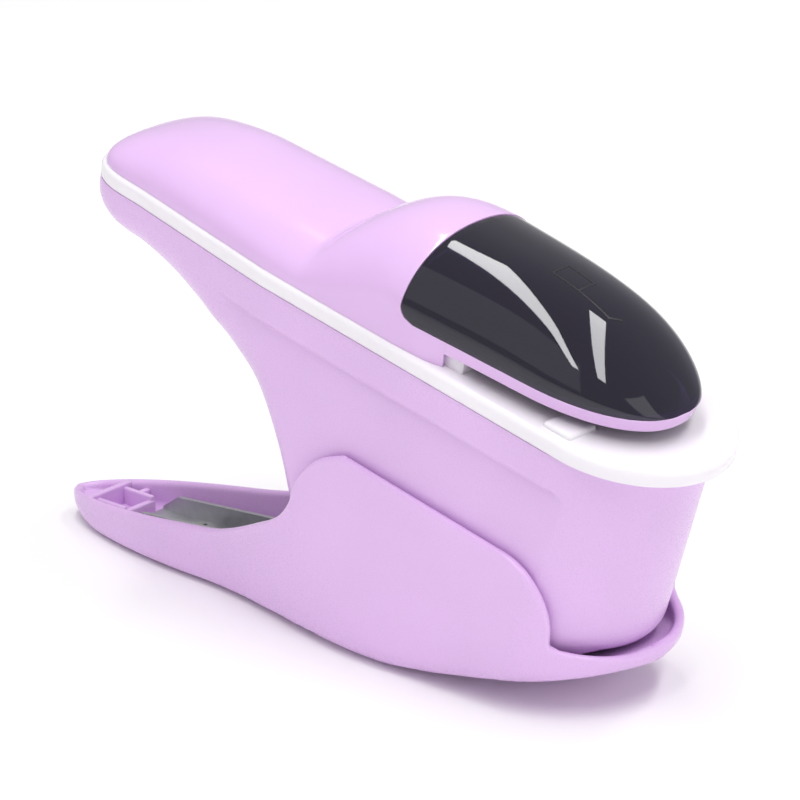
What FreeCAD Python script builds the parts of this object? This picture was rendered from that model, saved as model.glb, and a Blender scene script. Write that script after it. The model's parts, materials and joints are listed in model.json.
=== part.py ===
"""Handheld squeeze stapler that binds paper without staples, as a parametric FreeCAD document.

Row frame, millimetres: +Z up, +X towards the nose of the head, origin on the flat sole of the lever.
The body, table and handle lean nose-down, so they are drawn in a body frame of their own:
X runs from the tail to the nose along the table, Z is height above the table's top face.
The lever is drawn straight in the row frame, where its sole lies flat.
"""
import FreeCAD, Part
import math
import os
import re
import Sketcher
from FreeCAD import Placement, Rotation, Vector

doc = FreeCAD.newDocument("squeeze_stapler")

# ---------------------------------------------------------------- driving sizes
SIZES = {
    # stance: where the lever's pivot stands above the sole, and how far the body leans
    "pivot_x": 58.3, "pivot_height": 16.2, "body_lean": 13.1,
    # the pivot seen from the body frame
    "pivot_along": 107.3, "pivot_depth": 34.4,
    "squeeze_angle": 20.0,
    # table
    "table_half": 17.5, "table_nose": 131.0, "table_thick": 3.0, "table_tail": 6.8,
    "tail_half": 15.1, "tail_round": 13.2, "taper_end": 50.0,
    # handle cover
    "handle_height": 8.1, "collar_height": 17.7, "collar_start": 56.0, "collar_end": 78.0,
    "cover_wall": 1.8, "cover_set_back": 0.5,
    # head: smoked window over a thin lip
    "rim_height": 4.7, "slot_gap": 2.5, "window_rise": 12.8, "window_rear": 78.0, "head_nose": 123.0,
    "window_half": 16.8, "window_wall": 1.5, "stop_along": 87.2,
    # lower body
    "body_half": 17.2, "body_nose": 127.0, "body_draft": 2.6, "body_wall": 1.8, "body_low": 42.6,
    "panel_top": 8.9, "panel_half": 16.0, "panel_front": 116.7, "panel_corner": 5.0,
    # steel side frames
    "frame_y": 9.5, "frame_thick": 1.2, "arm_low": 5.2, "arm_high": 8.4, "arm_nose": 111.0,
    "spine_rear": 64.0, "spine_front": 77.0, "frame_low": 39.5, "frame_shelf": 28.5,
    # pins and rods
    "pin_radius": 1.5, "run_gap": 0.05, "safe_gap": 0.3, "rod_radius": 1.25, "spacer_radius": 2.0,
    "rivet_radius": 1.2, "rivet_head": 2.2, "rivet_high": 0.8,
    # lever
    "lever_half": 18.0, "wing_wall": 1.7, "sole_floor": 2.2, "tail_out": 10.0,
    "lever_tail_x": -51.0, "lever_toe_x": 60.9, "wing_round": 10.6, "boss_radius": 4.0,
    # steel channel in the lever
    "channel_out": 5.0, "channel_thick": 0.8, "channel_rear": -33.0, "channel_front": 38.0,
    "drive_reach": 24.0, "drive_ear": 3.0, "drive_pin_radius": 1.5,
    # punch
    "flap_along": 99.5, "slit_along": 92.5, "blade_top": 0.6,
    "blade_thick": 0.6, "flap_width": 6.0, "slit_width": 8.0, "rod_rear": 89.0, "rod_front": 108.5,
    "block_top": 15.5, "block_low": 23.5, "block_half": 5.0, "leg_half": 3.6,
    # head insert and tuck arm
    "anvil_low": 2.7, "anvil_high": 4.5, "tuck_pin_along": 106.0, "tuck_pin_up": 6.8,
    "tuck_pin_radius": 1.0, "tuck_half": 2.0,
    # springs
    "coil_wire": 0.5, "coil_radius": 2.2, "lever_wire": 0.8, "lever_coil": 2.9,
    # screws
    "screw_radius": 1.2, "screw_head": 2.3, "screw_head_high": 1.4, "well_radius": 2.7,
    "screw_rear": 22.0, "screw_mid": 49.0,
}

sheet = doc.addObject("Spreadsheet::Sheet", "sizes")
for row, (alias, size) in enumerate(SIZES.items(), start=1):
    sheet.set("A%d" % row, alias)
    sheet.set("B%d" % row, str(size))
    sheet.setAlias("B%d" % row, alias)
doc.recompute()


def bound(text):
    """Writes plain size names as references to the sheet."""
    return re.sub(r"\b([a-z]+(?:_[a-z]+)+)\b", r"sizes.\1", str(text))


def size(text):
    """The number that an expression in size names stands for."""
    return float(sheet.evalExpression(bound(text)))


LEAN = size("body_lean")
PIVOT = Vector(size("pivot_x"), 0, size("pivot_height"))
IN_BODY = Placement(PIVOT, Rotation(Vector(0, 1, 0), LEAN)) * Placement(
    Vector(-size("pivot_along"), 0, size("pivot_depth")), Rotation())
IN_ROW = Placement()
nodes = []


def row_point(along, up):
    """A point of the body frame's mid-plane, in the row frame."""
    return IN_BODY.multVec(Vector(along, 0, up))


def keep(thing, label, place):
    """Names a finished sub-part and puts it in its frame."""
    thing.Label = label
    thing.Placement = place * thing.Placement
    nodes.append(thing)
    return thing


def shaped(label, shape, place):
    """A sub-part whose surface no sketch feature makes: a shell, a loft or a coil."""
    thing = doc.addObject("Part::Feature", label)
    thing.Shape = shape
    return keep(thing, label, place)


# ---------------------------------------------------------------- sketch and body helpers
def plane_of(body, role):
    return [item for item in body.Origin.OriginFeatures if item.Role == role][0]


def new_sketch(body, name, role, offset="0"):
    sketch = body.newObject("Sketcher::SketchObject", name)
    sketch.AttachmentSupport = (plane_of(body, role), "")
    sketch.MapMode = "FlatFace"
    if offset != "0":
        sketch.AttachmentOffset = Placement(Vector(0, 0, size(offset)), Rotation())
        sketch.setExpression("AttachmentOffset.Base.z", bound(offset))
    return sketch


def draw_polygon(sketch, corners):
    """A closed polygon with every corner held at two size expressions."""
    flat = [Vector(size(x), size(y), 0) for x, y in corners]
    count = len(flat)
    first = sketch.GeometryCount
    for index in range(count):
        sketch.addGeometry(Part.LineSegment(flat[index], flat[(index + 1) % count]), False)
    for index in range(count):
        follower = first + (index + 1) % count
        sketch.addConstraint(Sketcher.Constraint("Coincident", first + index, 2, follower, 1))
    for index, corner in enumerate(corners):
        for way, text, value in zip(("DistanceX", "DistanceY"), corner, flat[index][:2]):
            number = sketch.addConstraint(Sketcher.Constraint(way, -1, 1, first + index, 1, value))
            sketch.setExpression("Constraints[%d]" % number, bound(text))


def draw_circle(sketch, x, y, radius):
    centre = Vector(size(x), size(y), 0)
    circle = sketch.addGeometry(Part.Circle(centre, Vector(0, 0, 1), size(radius)), False)
    number = sketch.addConstraint(Sketcher.Constraint("Radius", circle, size(radius)))
    sketch.setExpression("Constraints[%d]" % number, bound(radius))
    for way, text, value in (("DistanceX", x, centre.x), ("DistanceY", y, centre.y)):
        number = sketch.addConstraint(Sketcher.Constraint(way, -1, 1, circle, 3, value))
        sketch.setExpression("Constraints[%d]" % number, bound(text))


def draw_box(sketch, low_x, low_y, high_x, high_y):
    draw_polygon(sketch, [(low_x, low_y), (high_x, low_y), (high_x, high_y), (low_x, high_y)])


def pad(body, sketch, length, midplane=True):
    feature = body.newObject("PartDesign::Pad", sketch.Name + "_pad")
    feature.Profile = sketch
    feature.Midplane = midplane
    feature.Length = size(length)
    feature.setExpression("Length", bound(length))
    sketch.Visibility = False
    doc.recompute()
    return feature


def pocket(body, sketch, reach="60"):
    """Cuts a sketch both ways through the body, and makes sure that something was cut."""
    before = body.Shape.Volume
    feature = body.newObject("PartDesign::Pocket", sketch.Name + "_cut")
    feature.Profile = sketch
    feature.Midplane = True
    feature.Length = size(reach)
    doc.recompute()
    if not body.Shape.Volume < before - 0.01:
        raise RuntimeError("pocket %s cut nothing" % sketch.Name)
    return feature


def new_body(label):
    return doc.addObject("PartDesign::Body", label)


def plate(label, role, corners, thickness, offset="0", midplane=True, holes=(), cuts=()):
    """A flat piece: one padded outline with round holes and straight cuts."""
    body = new_body(label)
    base = new_sketch(body, label + "_outline", role, offset)
    draw_polygon(base, corners)
    pad(body, base, thickness, midplane)
    for index, (x, y, radius) in enumerate(holes):
        hole = new_sketch(body, "%s_hole%d" % (label, index), role)
        draw_circle(hole, x, y, radius)
        pocket(body, hole)
    for index, outline in enumerate(cuts):
        cut = new_sketch(body, "%s_slot%d" % (label, index), role)
        draw_polygon(cut, outline)
        pocket(body, cut)
    return body


def box_corners(low_x, low_y, high_x, high_y):
    return [(low_x, low_y), (high_x, low_y), (high_x, high_y), (low_x, high_y)]


# ---------------------------------------------------------------- solid helpers
def cross_rod(name, radius, half, along, up, centre="0"):
    """A round bar along Y, its radius and length bound to the sheet."""
    rod = doc.addObject("Part::Cylinder", name)
    rod.setExpression("Radius", bound(radius))
    rod.setExpression("Height", bound("2 * (%s)" % half))
    rod.Placement = Placement(Vector(size(along), size(centre) + size(half), size(up)),
                              Rotation(Vector(1, 0, 0), 90))
    return rod


def upright(name, radius, height, along, across, low):
    """A round bar along Z, its radius and length bound to the sheet."""
    rod = doc.addObject("Part::Cylinder", name)
    rod.setExpression("Radius", bound(radius))
    rod.setExpression("Height", bound(height))
    rod.Placement = Placement(Vector(size(along), size(across), size(low)), Rotation())
    return rod


def fused(name, pieces):
    joined = doc.addObject("Part::MultiFuse", name)
    joined.Shapes = pieces
    return joined


def group(label, pieces, place):
    """Identical loose pieces that share one node."""
    holder = doc.addObject("Part::Compound", label)
    holder.Links = pieces
    return keep(holder, label, place)


def pan_screw(name, head, along, across, seat, length, upwards):
    """A pan-head screw with a cross recess; the shank points up or down from its seat."""
    radius, high = size("screw_head"), size("screw_head_high")
    shank = upright(name + "_shank", "screw_radius", str(length), along, across,
                    seat if upwards else "%s - %s" % (seat, length))
    cap = upright(name + "_cap", head, "screw_head_high", along, across,
                  "%s - screw_head_high" % seat if upwards else seat)
    whole = fused(name + "_blank", [shank, cap])
    outer = size(seat) + (-high if upwards else high)
    recess = doc.addObject("Part::Feature", name + "_recess")
    arms = []
    for turn in (0, 90):
        arm = Part.makeBox(radius * 1.2, 0.5, high, Vector(-radius * 0.6, -0.25, -high / 2))
        arm.rotate(Vector(), Vector(0, 0, 1), turn)
        arms.append(arm)
    recess.Shape = arms[0].fuse(arms[1])
    recess.Placement = Placement(Vector(size(along), size(across), outer), Rotation())
    screw = doc.addObject("Part::Cut", name)
    screw.Base = whole
    screw.Tool = recess
    return screw


def prism(points, low_y, high_y):
    """A solid between two depths with a side outline in the X-Z plane."""
    wire = Part.makePolygon([Vector(x, low_y, z) for x, z in points + points[:1]])
    return Part.Face(wire).extrude(Vector(0, high_y - low_y, 0))


def block(low, high):
    span = [b - a for a, b in zip(low, high)]
    return Part.makeBox(*span, Vector(*low))


def across_bar(radius, along, up, low_y, high_y):
    return Part.makeCylinder(radius, high_y - low_y, Vector(along, low_y, up), Vector(0, 1, 0))


def smooth(points):
    curve = Part.BSplineCurve()
    curve.interpolate(points)
    return curve.toShape()


def closed_tail(up, half, tail, inset):
    """The blunt tail end of the plan: a superellipse from one flank to the other."""
    power, steps = 3.4, 6
    base = tail + size("tail_round")
    reach = size("tail_round") - inset
    width = half * size("tail_half") / size("table_half") - inset
    points = []
    for index in range(-steps, steps + 1):
        turn = math.pi / 2 * index / steps
        back = abs(math.cos(turn)) ** (2 / power)
        side = math.copysign(abs(math.sin(turn)) ** (2 / power), turn) if index else 0.0
        points.append(Vector(base - reach * back, -width * side, up))
    return points


def plan_wire(up, half, nose, tail, inset=0.0):
    """The plan of table and body at one height: a round nose, tapered flanks, a blunt tail."""
    wide = half - inset
    centre = nose - half
    tail_points = closed_tail(up, half, tail, inset)
    flank = size("taper_end")
    nose_arc = Part.Arc(Vector(centre, -wide, up), Vector(centre + wide, 0, up),
                        Vector(centre, wide, up)).toShape()
    left = Part.makePolygon([Vector(centre, wide, up), Vector(flank, wide, up), tail_points[0]])
    right = Part.makePolygon([tail_points[-1], Vector(flank, -wide, up), Vector(centre, -wide, up)])
    return Part.Wire([nose_arc] + left.Edges + [smooth(tail_points)] + right.Edges)


def plan_solid(low, high, half_low, half_high, nose_low, nose_high, inset=0.0):
    """The plan stretched between two heights, with draft where the two ends differ."""
    tail = size("table_tail")
    wires = [plan_wire(low, half_low, nose_low, tail, inset),
             plan_wire(high, half_high, nose_high, tail, inset)]
    return Part.makeLoft(wires, True, True)


def arch_wire(along, half, high, base, power):
    """One upright arch across the handle or the window: a superellipse on a flat foot."""
    points = []
    steps = 7
    for index in range(steps + 1):
        turn = math.pi * index / (2 * steps)
        points.append(Vector(along, half * math.cos(turn) ** (2 / power),
                             base + high * math.sin(turn) ** (2 / power)))
    other = [Vector(p.x, -p.y, p.z) for p in reversed(points[:-1])]
    foot = Part.makeLine(other[-1], points[0])
    return Part.Wire([smooth(points + other), foot])


# ---------------------------------------------------------------- handle cover
def plan_half_at(along):
    """Half-width of the cover's flank at a place along it, before the tail is rounded off."""
    round_end = size("table_tail") + size("tail_round")
    share = min((along - round_end) / (size("taper_end") - round_end), 1.0)
    return size("tail_half") + share * (size("table_half") - size("tail_half"))


def handle_high_at(along):
    """Height of the cover's crown: it rises from the tail, runs level, then swells to the collar."""
    level, tail_reach = size("handle_height"), 21.0
    if along < size("table_tail") + tail_reach:
        part = min((size("table_tail") + tail_reach - along) / tail_reach, 1.0)
        return level * max(1 - part ** 1.6, 0.04) ** 0.6
    start, end = size("collar_start") + 1.5, size("collar_end")
    if along > start:
        part = min((along - start) / (end - start), 1.0)
        return level + (size("collar_height") - level) * (1 - (1 - part) ** 2.6)
    return level


def cover_loft(inset, rear, front, drop=0.0):
    """The crown as arches from tail to collar, rounded off in plan at the tail."""
    tail, swell = size("table_tail"), size("collar_start")
    places = [rear, tail + 2, tail + 6, tail + 11, tail + 17, tail + 25, tail + 34, swell - 6, swell - 1,
              swell + 2, swell + 5, swell + 9, swell + 13, swell + 17.5, front]
    wires = []
    for along in places:
        half = plan_half_at(along) - size("cover_set_back") - inset - 0.1
        wires.append(arch_wire(along, half, handle_high_at(along) - inset + drop, -drop, 2.3))
    crown = Part.makeLoft(wires, True, False)
    half, nose, edge = size("table_half"), size("table_nose"), size("cover_set_back") + inset
    return crown.common(plan_solid(-drop, 30, half, half, nose, nose, edge))


def head_half_at(along, inset=0.0):
    """Half-width of the head's rim, closing as a superellipse at the nose."""
    nose = size("head_nose") - inset
    bend = nose - 20.0
    flank = size("window_half") - 0.07 * (along - size("window_rear")) - inset
    if along <= bend:
        return flank
    part = min((along - bend) / (nose - bend), 1.0)
    return flank * (1 - part ** 2.3) ** (1 / 2.3)


def head_rise_at(along, inset=0.0):
    """Height of the window above its rim: level behind, then falling straight to the nose."""
    part = (along - size("window_rear")) / (size("head_nose") - inset - size("window_rear"))
    return (size("window_rise") - inset) * (1 - max(part, 0.0) ** 3.8)


def head_plan(rear, up, inset=0.0):
    """The rim's outline at one height, cut straight across at its rear."""
    nose = size("head_nose") - inset
    bend = nose - 20.0
    places = [rear + (bend - rear) * share for share in (0, 0.33, 0.67)]
    places += [bend + 20.0 * math.sin(math.radians(turn)) for turn in range(0, 90, 15)]
    flank = [Vector(along, head_half_at(along, inset), up) for along in places]
    back = [Vector(p.x, -p.y, up) for p in reversed(flank)]
    return Part.Wire([smooth(flank + [Vector(nose, 0, up)] + back), Part.makeLine(back[-1], flank[0])])


def head_slab(rear, low, high, inset_low, inset_high):
    wires = [head_plan(rear, low, inset_low), head_plan(rear, high, inset_high)]
    return Part.makeLoft(wires, True, True)


def window_loft(inset, rear):
    """The domed window as a solid, from its rear edge to the nose."""
    span = size("head_nose") - inset - rear
    wires = []
    for share in (0, 0.12, 0.25, 0.37, 0.49, 0.60, 0.70, 0.79, 0.87, 0.93, 0.97, 0.995):
        along = rear + span * share
        wires.append(arch_wire(along, head_half_at(along, inset), head_rise_at(along, inset),
                               size("rim_height"), 2.2))
    return Part.makeLoft(wires, True, False)


def handle_cover():
    """Palm grip, collar and the thin lip that carries the window, moulded as one."""
    wall, rear, rim = size("cover_wall"), size("collar_end"), size("rim_height")
    tail = size("table_tail")
    outer = cover_loft(0.0, tail - 1.5, rear)
    shell = outer.cut(cover_loft(wall, tail - 0.5, rear + 0.5, 0.5))
    lip = head_slab(rear - wall, size("slot_gap"), rim, 0.6, -0.1)
    lip = lip.cut(head_slab(rear - wall - 1, 0, rim + 1, 3.2, 3.2))
    cheeks = head_slab(rear - wall, 0, rim, 0.3, 0.1).cut(head_slab(rear - wall - 1, -1, rim + 1, 2.8, 2.8))
    cheeks = cheeks.cut(block((size("stop_along"), -30, -1), (140, 30, 10)))
    whole = shell.fuse([lip, cheeks])
    for along in (size("screw_rear"), size("screw_mid")):
        post = Part.makeCylinder(3.0, 12, Vector(along, 0, 0)).common(outer)
        whole = whole.fuse(post).cut(Part.makeCylinder(size("screw_radius") + 0.05, 5, Vector(along, 0, -1)))
    return whole.removeSplitter()


def head_window():
    """Smoked one-piece dome that closes the head over the lip."""
    rear = size("window_rear") + 0.15
    inside = window_loft(size("window_wall"), rear)
    opening = inside.copy()
    opening.translate(Vector(-1, 0, 0))
    return window_loft(0.0, rear).cut(inside).cut(opening)


# ---------------------------------------------------------------- paper table
def table_slots():
    """Openings through the table: two for the blades and two for the steel side frames."""
    slack = 0.4
    cuts = []
    for along, width in ((size("flap_along"), size("flap_width")), (size("slit_along"), size("slit_width"))):
        near, side = size("blade_thick") / 2 + slack, width / 2 + slack
        cuts.append(block((along - near, -side, -9), (along + near, side, 9)))
    inner, outer = size("frame_y") - 0.2, size("frame_y") + size("frame_thick") + 0.2
    for low, high in ((inner, outer), (-outer, -inner)):
        cuts.append(block((size("spine_rear") - 0.3, low, -9), (size("spine_front") + 0.3, high, 9)))
    return cuts


def paper_table():
    """White plate the paper lies on, with a raised die pad round the blade slots."""
    half, nose = size("table_half"), size("table_nose")
    slab = plan_solid(-size("table_thick"), 0, half - 0.1, half, nose - 0.6, nose)
    edges = [e for e in slab.Edges if abs(e.CenterOfMass.z) < 0.01]
    slab = slab.makeFillet(0.5, edges)
    pad_rear, pad_front = size("slit_along") - 3.5, size("flap_along") + 3.5
    slab = slab.fuse(block((pad_rear, -6.5, -1), (pad_front, 6.5, 0.7)))
    for along in (size("screw_rear"), size("screw_mid")):
        slab = slab.cut(Part.makeCylinder(size("screw_radius") + 0.2, 20, Vector(along, 0, -10)))
    for side in (-1, 1):
        spot = Vector(size("spine_rear") - 4, side * 12.5, -10)
        slab = slab.cut(Part.makeCylinder(size("screw_radius") + 0.2, 20, spot))
    for cut in table_slots():
        slab = slab.cut(cut)
    return slab


# ---------------------------------------------------------------- lower body
def underside(offset):
    """The grip's lower edge in side view, from the tail down to the rear of the body."""
    spine = [(6.5, -9.2), (14.8, -12.3), (27.0, -15.3), (37.0, -19.2), (45.0, -23.8),
             (50.6, -28.6), (56.7, -35.5), (62.2, -size("body_low"))]
    curve = Part.BSplineCurve()
    curve.interpolate([Vector(x, 0, z) for x, z in spine])
    points = []
    for x, z in spine:
        spot = Vector(x, 0, z)
        way = curve.tangent(curve.parameter(spot))[0]
        normal = Vector(-way.z, 0, way.x)
        points.append(spot + normal * offset)
    return points


def side_profile(offset, low, top, open_bottom=False):
    """The body's side view stretched across its width, moved inwards by an offset."""
    edge = underside(offset)
    start, end = Vector(edge[0].x - 6, 0, edge[0].z), edge[-1]
    nose = size("body_nose") + 3
    corners = [end, Vector(end.x + 1 + offset, 0, low), Vector(100, 0, low), Vector(112, 0, max(low, -39.2)),
               Vector(122, 0, max(low, -36.4)), Vector(nose, 0, max(low, -36.4)),
               Vector(nose, 0, top), Vector(start.x, 0, top), start, edge[0]]
    if open_bottom:
        corners = [end, Vector(end.x + 1, 0, low), Vector(nose, 0, low), Vector(nose, 0, top),
                   Vector(start.x, 0, top), start, edge[0]]
    wire = Part.Wire([smooth(edge)] + Part.makePolygon(corners).Edges)
    face = Part.Face(wire)
    solid = face.extrude(Vector(0, 60, 0))
    solid.translate(Vector(0, -30, 0))
    return solid


def body_blank():
    half, draft, thick = size("body_half"), size("body_draft"), size("table_thick")
    plan = plan_solid(-50, -thick, half - 0.4 * draft, half, size("body_nose") - draft, size("body_nose"))
    blank = plan.common(side_profile(0.0, -size("body_low"), 0))
    low_edges = []
    for edge in blank.Edges:
        middle = edge.CenterOfMass
        if abs(middle.y) > 6 and middle.x < 60 and middle.z < -8.5 and edge.Length > 8:
            low_edges.append(edge)
    return blank.makeFillet(4.0, low_edges)


def body_shell():
    """Lower moulding: the grip's belly and the housing round the punch, open at the bottom."""
    wall, thick, draft = size("body_wall"), size("table_thick"), size("body_draft")
    half = size("body_half")
    blank = body_blank()
    hollow = plan_solid(-50, -thick + 0.5, half - 0.4 * draft, half, size("body_nose") - draft,
                        size("body_nose"), wall)
    hollow = hollow.common(side_profile(wall, -60, 1, True))
    shell = blank.cut(hollow)
    corner, front, top = size("panel_corner"), size("panel_front"), -size("panel_top")
    outline = Part.Wire([
        Part.makeLine(Vector(-5, 0, top), Vector(front - corner, 0, top)),
        Part.Arc(Vector(front - corner, 0, top), Vector(front - corner * (1 - math.sqrt(0.5)), 0,
                 top - corner * (1 - math.sqrt(0.5))), Vector(front, 0, top - corner)).toShape(),
        Part.makeLine(Vector(front, 0, top - corner), Vector(front, 0, -70)),
        Part.makeLine(Vector(front, 0, -70), Vector(-5, 0, -70)),
        Part.makeLine(Vector(-5, 0, -70), Vector(-5, 0, top))])
    panel = Part.Face(outline).extrude(Vector(0, 10, 0))
    for side in (-1, 1):
        recess = panel.copy()
        recess.translate(Vector(0, size("panel_half") if side > 0 else -size("panel_half") - 10, 0))
        shell = shell.cut(recess)
    for along in (size("screw_rear"), size("screw_mid")):
        post = Part.makeCylinder(size("well_radius") + 1.2, 60, Vector(along, 0, -60)).common(blank)
        shell = shell.fuse(post)
        shell = shell.cut(Part.makeCylinder(size("well_radius"), 60, Vector(along, 0, -69)))
        shell = shell.cut(Part.makeCylinder(size("screw_radius") + 0.2, 20, Vector(along, 0, -10)))
    shell = shell.cut(across_bar(size("boss_radius") + size("safe_gap"), size("pivot_along"),
                                 -size("pivot_depth"), -25, 25))
    low = -size("body_low")
    for side in (-1, 1):
        corner = [(side * 18.0, low + 6.4), (side * 18.0, low - 3), (side * 9.0, low - 3)]
        wire = Part.makePolygon([Vector(0, y, z) for y, z in corner + corner[:1]])
        shell = shell.cut(Part.Face(wire).extrude(Vector(140, 0, 0)))
    return shell.cut(block((52, -6.2, -60), (66, 6.2, low + 10)))


cover = shaped("handle_cover", handle_cover(), IN_BODY)
window = shaped("head_window", head_window(), IN_BODY)
table = shaped("paper_table", paper_table(), IN_BODY)
lower = shaped("body_shell", body_shell(), IN_BODY)


# ---------------------------------------------------------------- steel side frames and their spacers
def side_frame(label, side):
    """C-shaped steel side plate: arm in the head, spine through the table, leg to the pivot."""
    low, shelf = "-frame_low", "-frame_shelf"
    corners = [("spine_rear", low), ("pivot_along + 6", low), ("pivot_along + 6", shelf),
               ("spine_front", shelf), ("spine_front", "arm_low"), ("arm_nose", "arm_low"),
               ("arm_nose", "arm_high - 1.2"), ("arm_nose - 4", "arm_high"), ("spine_rear", "arm_high")]
    offset = "-frame_y - frame_thick" if side > 0 else "frame_y"
    holes = [("pivot_along", "-pivot_depth", "pin_radius"),
             ("tuck_pin_along", "tuck_pin_up", "tuck_pin_radius")]
    holes += [(along, up, "rivet_radius") for along, up in SPACERS]
    body = plate(label + "_plate", "XZ_Plane", corners, "frame_thick", offset, False, holes)
    tab_low = -size("table_thick") - 1.2
    inner, outer = size("frame_y"), size("frame_y") + 5.5
    tab = block((size("spine_rear") - 7, min(side * inner, side * outer), tab_low),
                (size("spine_rear") + 0.5, max(side * inner, side * outer), -size("table_thick")))
    spot = Vector(size("spine_rear") - 4, side * 12.5, -10)
    tab = tab.cut(Part.makeCylinder(size("screw_radius"), 20, spot))
    bent = doc.addObject("Part::Feature", label + "_tab")
    bent.Shape = tab
    return keep(fused(label, [body, bent]), label, IN_BODY)


SPACERS = [("spine_rear + 5", "-24"), ("spine_rear + 5", "-10"), ("spine_rear + 6", "arm_high - 2.5"),
           ("pivot_along + 3.5", "-frame_shelf - 1.5")]
side_frame("frame_left", 1)
side_frame("frame_right", -1)

rivets = []
for number, (along, up) in enumerate(SPACERS):
    name = "spacer%d" % number
    wide = "frame_y + frame_thick"
    shank = "spacer_radius" if number < 3 else "rivet_radius + 0.2"
    pieces = [cross_rod(name + "_bar", shank, "frame_y", along, up),
              cross_rod(name + "_neck", "rivet_radius", wide, along, up)]
    for side in (-1, 1):
        middle = "%d * (%s + rivet_high / 2)" % (side, wide)
        pieces.append(cross_rod("%s_head%d" % (name, side), "rivet_head", "rivet_high / 2",
                                along, up, middle))
    rivets.append(fused(name, pieces))
group("frame_spacers", rivets, IN_BODY)

# bearing block between the frames that holds the feet of the guide rods
plate("guide_bracket", "XZ_Plane",
      box_corners("spine_front + 11.3", "-frame_shelf", "rod_front + 3.5", "-frame_shelf + 2"),
      "2 * frame_y")
bracket = doc.getObject("guide_bracket")
for number, along in enumerate(("rod_rear", "rod_front")):
    hole = new_sketch(bracket, "guide_hole%d" % number, "XY_Plane")
    draw_circle(hole, along, "0", "rod_radius")
    pocket(bracket, hole, "2 * frame_low")
keep(bracket, "guide_bracket", IN_BODY)

rods = [upright("rod%d" % number, "rod_radius", "frame_shelf - table_thick", along, "0", "-frame_shelf")
        for number, along in enumerate(("rod_rear", "rod_front"))]
group("guide_rods", rods, IN_BODY)

# ---------------------------------------------------------------- pins
keep(cross_rod("lever_pivot_pin", "pin_radius", "panel_half - 1", "pivot_along", "-pivot_depth"),
     "lever_pivot_pin", IN_BODY)
keep(cross_rod("tuck_pin", "tuck_pin_radius", "frame_y + frame_thick", "tuck_pin_along", "tuck_pin_up"),
     "tuck_pin", IN_BODY)

# ---------------------------------------------------------------- head insert over the slot
anvil = head_slab(size("window_rear") + 2, size("anvil_low"), size("anvil_high"), 3.5, 3.5)
for along, width in ((size("flap_along"), size("flap_width")), (size("slit_along"), size("slit_width"))):
    near, side = size("blade_thick") / 2 + 0.4, width / 2 + 0.4
    anvil = anvil.cut(block((along - near, -side, 0), (along + near, side, 9)))
shaped("anvil_plate", anvil, IN_BODY)

keep(plate("paper_stop", "XZ_Plane",
           box_corners("stop_along - 3", "0", "stop_along - 1", "slot_gap - 0.1"), "2 * frame_y + 6"),
     "paper_stop", IN_BODY)

# ---------------------------------------------------------------- punch: carriage, blades and their pin
DRIVE_ALONG = "pivot_along - drive_reach * cos(squeeze_angle / 2)"
DRIVE_UP = "-pivot_depth - drive_reach * sin(squeeze_angle / 2)"


def bound_angles(text):
    """The sheet's angles are plain numbers, so the trigonometry is done on degrees."""
    return text.replace("squeeze_angle / 2)", "squeeze_angle / 2 * 1deg)")


DRIVE_ALONG, DRIVE_UP = bound_angles(DRIVE_ALONG), bound_angles(DRIVE_UP)
carriage = plate("punch_carriage", "XZ_Plane", [
    ("rod_rear - 9.2", "%s - 4.2" % DRIVE_UP), ("rod_rear - 1.6", "%s - 4.2" % DRIVE_UP),
    ("rod_rear - 1.6", "-block_low"), ("rod_front + 3", "-block_low"),
    ("rod_front + 3", "-block_top"), ("rod_rear - 9.2", "-block_top")], "2 * leg_half")
slot_near = "drive_pin_radius + 0.8"
slot_high = "drive_pin_radius + safe_gap"
pin_slot = new_sketch(carriage, "pin_slot", "XZ_Plane")
draw_box(pin_slot, "%s - (%s)" % (DRIVE_ALONG, slot_near), "%s - (%s)" % (DRIVE_UP, slot_high),
         "%s + %s" % (DRIVE_ALONG, slot_near), "%s + %s" % (DRIVE_UP, slot_high))
pocket(carriage, pin_slot)
wide_block = new_sketch(carriage, "wide_block", "XZ_Plane")
draw_box(wide_block, "rod_rear - 1.6", "-block_low", "rod_front + 3", "-block_top")
pad(carriage, wide_block, "2 * block_half")
for number, along in enumerate(("rod_rear", "rod_front")):
    bore = new_sketch(carriage, "rod_bore%d" % number, "XY_Plane")
    draw_circle(bore, along, "0", "rod_radius + run_gap")
    pocket(carriage, bore, "2 * frame_low")
for name, along, width in (("flap", "flap_along", "flap_width"), ("slit", "slit_along", "slit_width")):
    seat = new_sketch(carriage, name + "_seat", "XY_Plane")
    draw_box(seat, "%s - blade_thick / 2" % along, "-%s / 2" % width,
             "%s + blade_thick / 2" % along, "%s / 2" % width)
    pocket(carriage, seat, "2 * frame_low")
bore = new_sketch(carriage, "blade_pin_bore", "YZ_Plane")
draw_circle(bore, "0", "-block_low + 4", "tuck_pin_radius")
pocket(carriage, bore, "2 * (flap_along + 2)")
keep(carriage, "punch_carriage", IN_BODY)


def blade(label, along, width, tip, eye):
    """A flat ground blade standing in the carriage, pointed at the top."""
    half = "%s / 2" % width
    corners = [("-" + half, "-block_low"), (half, "-block_low"), (half, "-blade_top - %s" % tip),
               ("0", "-blade_top"), ("-" + half, "-blade_top - %s" % tip)]
    cuts = [box_corners("-2.6", "-6.2", "2.6", "-4.2")] if eye else []
    body = new_body(label)
    outline = new_sketch(body, label + "_outline", "YZ_Plane", along)
    draw_polygon(outline, corners)
    pad(body, outline, "blade_thick")
    hole = new_sketch(body, label + "_hole", "YZ_Plane", along)
    draw_circle(hole, "0", "-block_low + 4", "tuck_pin_radius")
    pocket(body, hole, "4")
    for cut in cuts:
        window_cut = new_sketch(body, label + "_eye", "YZ_Plane", along)
        draw_polygon(window_cut, cut)
        pocket(body, window_cut, "4")
    keep(body, label, IN_BODY)


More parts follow.
